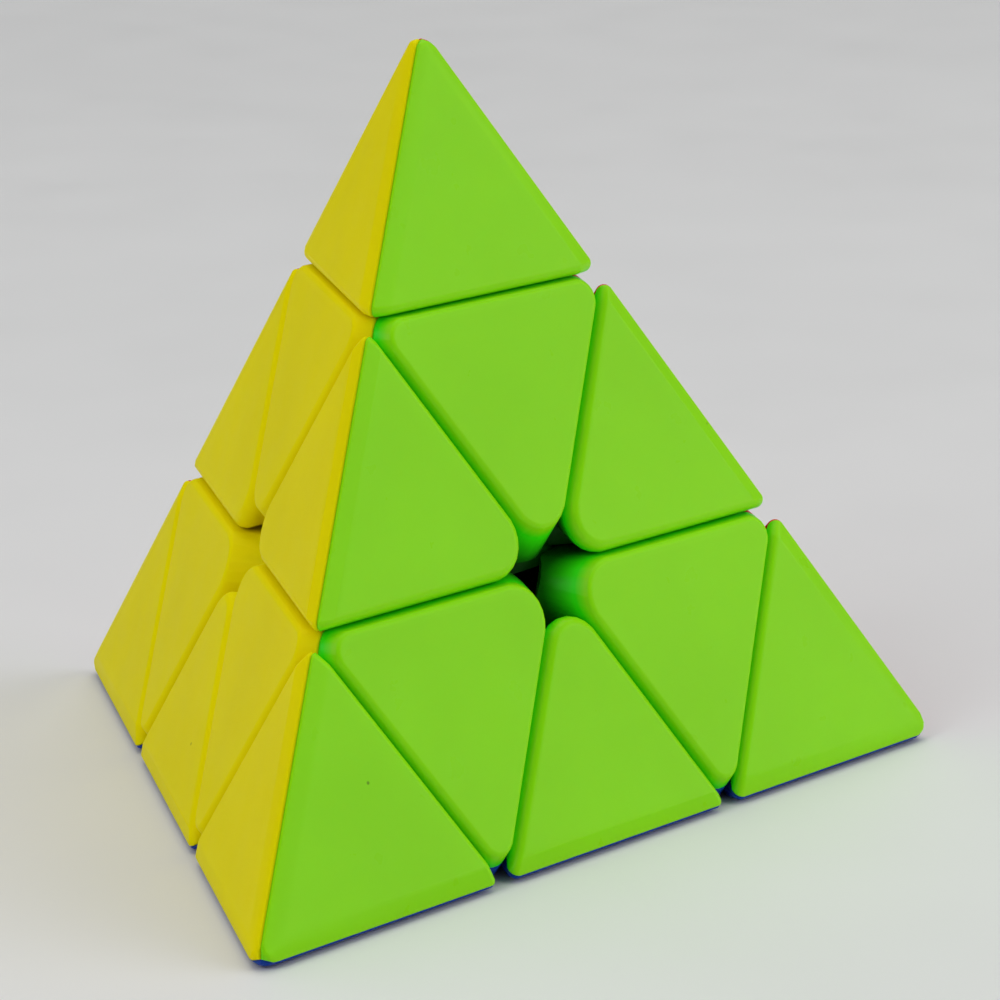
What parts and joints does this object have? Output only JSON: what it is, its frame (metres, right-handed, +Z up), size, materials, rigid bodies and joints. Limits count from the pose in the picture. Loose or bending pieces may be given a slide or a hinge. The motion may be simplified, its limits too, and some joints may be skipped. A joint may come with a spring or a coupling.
{
  "type": "pyramid twisty puzzle",
  "caption": "Stickerless pyramid-shaped twisty puzzle: four turning corner layers with turning tips round an inner core, in green, yellow, red and blue.",
  "frame": {"origin": "centre of the core, where the four turning axes meet; it is the centroid of the puzzle", "axes": "+Z up through the top tip, at right angles to the blue face it stands on; -Y towards the front of the green face, whose bottom edge runs along X"},
  "size_m": [0.098, 0.0856, 0.0809],
  "materials": {
    "green_plastic": "satin moulded ABS, through-coloured",
    "yellow_plastic": "satin moulded ABS, through-coloured",
    "red_plastic": "satin moulded ABS, through-coloured",
    "blue_plastic": "satin moulded ABS, through-coloured",
    "mechanism_plastic": "matt black moulded plastic",
    "steel": "plain zinc-plated steel"
  },
  "bodies": {
    "core": {"core": "mechanism_plastic", "tension_screw_top": "steel", "spring_washer_top": "steel", "tension_spring_top": "steel", "tension_screw_left": "steel", "spring_washer_left": "steel", "tension_spring_left": "steel", "tension_screw_right": "steel", "spring_washer_right": "steel", "tension_spring_right": "steel", "tension_screw_back": "steel", "spring_washer_back": "steel", "tension_spring_back": "steel"},
    "axial_top": {"axial_top_hub": "mechanism_plastic", "axial_top_red_shell": "red_plastic", "axial_top_yellow_shell": "yellow_plastic", "axial_top_green_shell": "green_plastic"},
    "axial_left": {"axial_left_hub": "mechanism_plastic", "axial_left_blue_shell": "blue_plastic", "axial_left_yellow_shell": "yellow_plastic", "axial_left_green_shell": "green_plastic"},
    "axial_right": {"axial_right_hub": "mechanism_plastic", "axial_right_blue_shell": "blue_plastic", "axial_right_red_shell": "red_plastic", "axial_right_green_shell": "green_plastic"},
    "axial_back": {"axial_back_hub": "mechanism_plastic", "axial_back_blue_shell": "blue_plastic", "axial_back_red_shell": "red_plastic", "axial_back_yellow_shell": "yellow_plastic"},
    "tip_top": {"tip_top_carrier": "mechanism_plastic", "tip_top_red_shell": "red_plastic", "tip_top_yellow_shell": "yellow_plastic", "tip_top_green_shell": "green_plastic"},
    "tip_left": {"tip_left_carrier": "mechanism_plastic", "tip_left_blue_shell": "blue_plastic", "tip_left_yellow_shell": "yellow_plastic", "tip_left_green_shell": "green_plastic"},
    "tip_right": {"tip_right_carrier": "mechanism_plastic", "tip_right_blue_shell": "blue_plastic", "tip_right_red_shell": "red_plastic", "tip_right_green_shell": "green_plastic"},
    "tip_back": {"tip_back_carrier": "mechanism_plastic", "tip_back_blue_shell": "blue_plastic", "tip_back_red_shell": "red_plastic", "tip_back_yellow_shell": "yellow_plastic"},
    "edge_top_left": {"edge_top_left_yellow_half": "yellow_plastic", "edge_top_left_green_half": "green_plastic"},
    "edge_top_right": {"edge_top_right_red_half": "red_plastic", "edge_top_right_green_half": "green_plastic"},
    "edge_top_back": {"edge_top_back_red_half": "red_plastic", "edge_top_back_yellow_half": "yellow_plastic"},
    "edge_left_right": {"edge_left_right_blue_half": "blue_plastic", "edge_left_right_green_half": "green_plastic"},
    "edge_left_back": {"edge_left_back_blue_half": "blue_plastic", "edge_left_back_yellow_half": "yellow_plastic"},
    "edge_right_back": {"edge_right_back_blue_half": "blue_plastic", "edge_right_back_red_half": "red_plastic"}
  },
  "joints": [
    {"name": "top_layer_turn", "type": "hinge", "parent": "core", "child": "axial_top", "pos_m": [0, 0, 0], "axis": [0, 0, 1], "range_deg": [-120, 120]},
    {"name": "left_layer_turn", "type": "hinge", "parent": "core", "child": "axial_left", "pos_m": [0, 0, 0], "axis": [-0.8165, -0.4714, -0.3333], "range_deg": [-240, 120]},
    {"name": "right_layer_turn", "type": "hinge", "parent": "core", "child": "axial_right", "pos_m": [0, 0, 0], "axis": [0.8165, -0.4714, -0.3333], "range_deg": [-120, 240]},
    {"name": "back_layer_turn", "type": "hinge", "parent": "core", "child": "axial_back", "pos_m": [0, 0, 0], "axis": [0, 0.9428, -0.3333], "range_deg": [-120, 120]},
    {"name": "top_tip_turn", "type": "hinge", "parent": "axial_top", "child": "tip_top", "pos_m": [0, 0, 0], "axis": [0, 0, 1], "continuous": true},
    {"name": "left_tip_turn", "type": "hinge", "parent": "axial_left", "child": "tip_left", "pos_m": [0, 0, 0], "axis": [-0.8165, -0.4714, -0.3333], "continuous": true},
    {"name": "right_tip_turn", "type": "hinge", "parent": "axial_right", "child": "tip_right", "pos_m": [0, 0, 0], "axis": [0.8165, -0.4714, -0.3333], "continuous": true},
    {"name": "back_tip_turn", "type": "hinge", "parent": "axial_back", "child": "tip_back", "pos_m": [0, 0, 0], "axis": [0, 0.9428, -0.3333], "continuous": true},
    {"name": "edge_top_left_follow", "type": "hinge", "parent": "axial_top", "child": "edge_top_left", "pos_m": [0, 0, 0], "axis": [-0.8165, -0.4714, -0.3333], "range_deg": [-240, 120]},
    {"name": "edge_top_right_follow", "type": "hinge", "parent": "axial_top", "child": "edge_top_right", "pos_m": [0, 0, 0], "axis": [0.8165, -0.4714, -0.3333], "range_deg": [-120, 240]},
    {"name": "edge_top_back_follow", "type": "hinge", "parent": "axial_back", "child": "edge_top_back", "pos_m": [0, 0, 0], "axis": [0, 0, 1], "range_deg": [-120, 120]},
    {"name": "edge_left_right_follow", "type": "hinge", "parent": "axial_left", "child": "edge_left_right", "pos_m": [0, 0, 0], "axis": [0.8165, -0.4714, -0.3333], "range_deg": [-120, 240]},
    {"name": "edge_left_back_follow", "type": "hinge", "parent": "axial_left", "child": "edge_left_back", "pos_m": [0, 0, 0], "axis": [0, 0.9428, -0.3333], "range_deg": [-120, 120]},
    {"name": "edge_right_back_follow", "type": "hinge", "parent": "axial_right", "child": "edge_right_back", "pos_m": [0, 0, 0], "axis": [0, 0.9428, -0.3333], "range_deg": [-120, 120]}
  ],
  "couplings": [
    {"joint": "edge_top_left_follow", "follows": "left_layer_turn", "ratio": 1},
    {"joint": "edge_top_right_follow", "follows": "right_layer_turn", "ratio": 1},
    {"joint": "edge_top_back_follow", "follows": "top_layer_turn", "ratio": 1},
    {"joint": "edge_left_right_follow", "follows": "right_layer_turn", "ratio": 1},
    {"joint": "edge_left_back_follow", "follows": "back_layer_turn", "ratio": 1},
    {"joint": "edge_right_back_follow", "follows": "back_layer_turn", "ratio": 1}
  ]
}
